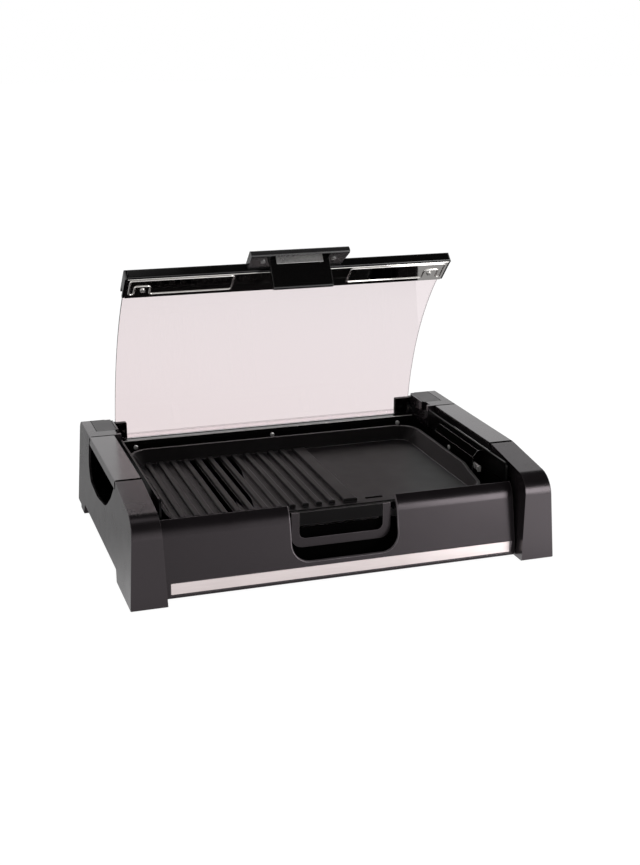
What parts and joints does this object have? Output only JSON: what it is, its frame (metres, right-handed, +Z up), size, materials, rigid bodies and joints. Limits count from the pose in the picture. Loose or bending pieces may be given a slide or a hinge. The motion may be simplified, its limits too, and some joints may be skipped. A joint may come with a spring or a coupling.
{
  "type": "electric table grill",
  "caption": "Low electric table grill with a ribbed and flat plate, end handles and a bent glass lid on sliding hinges.",
  "frame": {"origin": "on the worktop, under the middle of the grill's width and depth", "axes": "+X to the right of a person in front of the grill, +Y to the back, +Z up"},
  "size_m": [0.5512, 0.3879, 0.3732],
  "materials": {
    "housing_plastic": "fine satin texture",
    "cap_plastic": "satin gloss",
    "panel_plastic": "satin",
    "inner_plastic": "satin",
    "strip_steel": "brushed along its length",
    "shield_steel": "black heat-proof coat",
    "sheet_steel": "zinc plated",
    "plate_casting": "black non-stick coat",
    "tray_metal": "black coat",
    "element_steel": "heat-darkened sheath",
    "ceramic": "glazed ceramic",
    "lid_glass": "clear tempered, faint grey-rose tint",
    "trim_black": "gloss",
    "band_chrome": "mirror",
    "gasket_rubber": "matt",
    "pad_rubber": "matt",
    "screw_steel": "plain",
    "dial_plastic": "satin grey",
    "lamp_red": "clear moulded",
    "shoe_plastic": "acetal",
    "wire_sleeve": "woven glass sleeve"
  },
  "bodies": {
    "root": {"right_end_housing": "housing_plastic", "left_end_housing": "housing_plastic", "right_handle_cap": "cap_plastic", "left_handle_cap": "cap_plastic", "right_hinge_cover": "housing_plastic", "left_hinge_cover": "housing_plastic", "right_lid_stop": "inner_plastic", "left_lid_stop": "inner_plastic", "foot_pads": "pad_rubber", "front_panel": "panel_plastic", "front_trim_strip": "strip_steel", "base_cover": "inner_plastic", "base_screws": "screw_steel", "rear_panel": "panel_plastic", "heat_shield": "shield_steel", "rear_rail": "trim_black", "shield_screws": "screw_steel", "right_inner_cheek": "inner_plastic", "left_inner_cheek": "inner_plastic", "terminal_cover": "shield_steel", "cover_screw": "screw_steel", "grill_plate": "plate_casting", "plate_supports": "sheet_steel", "drip_tray": "tray_metal", "tray_grip": "panel_plastic", "heating_element": "element_steel", "element_straps": "sheet_steel", "element_terminals": "ceramic", "element_wires": "wire_sleeve", "dial_bezel": "inner_plastic", "thermostat_body": "inner_plastic", "pilot_lamp": "lamp_red", "cord_gland": "inner_plastic"},
    "lid_carriage": {"hinge_shoes": "shoe_plastic"},
    "lid": {"lid_glass": "lid_glass", "glass_gasket": "gasket_rubber", "lid_edge_trim": "trim_black", "lid_inner_band": "band_chrome", "band_screws": "screw_steel", "lid_handle": "trim_black", "lid_tongue": "trim_black", "handle_screws": "screw_steel", "glass_channel": "gasket_rubber", "glass_clips": "sheet_steel", "hinge_pins": "screw_steel"},
    "dial": {"dial_shaft": "screw_steel", "thermostat_dial": "dial_plastic", "dial_ring": "band_chrome"}
  },
  "joints": [
    {"name": "lid_shift", "type": "slide", "parent": "root", "child": "lid_carriage", "axis": [0, -0.9969, 0.079], "range_m": [0, 0.05066]},
    {"name": "lid_hinge", "type": "hinge", "parent": "lid_carriage", "child": "lid", "pos_m": [0, 0.17, 0.101], "axis": [1, 0, 0], "range_deg": [0, 63.2]},
    {"name": "dial_turn", "type": "hinge", "parent": "root", "child": "dial", "pos_m": [0.2673, -0.102, 0.082], "axis": [1, 0, 0], "range_deg": [-270, 0]}
  ],
  "couplings": [
    {"joint": "lid_shift", "follows": "lid_hinge", "m_per_rad": 0.045926}
  ]
}
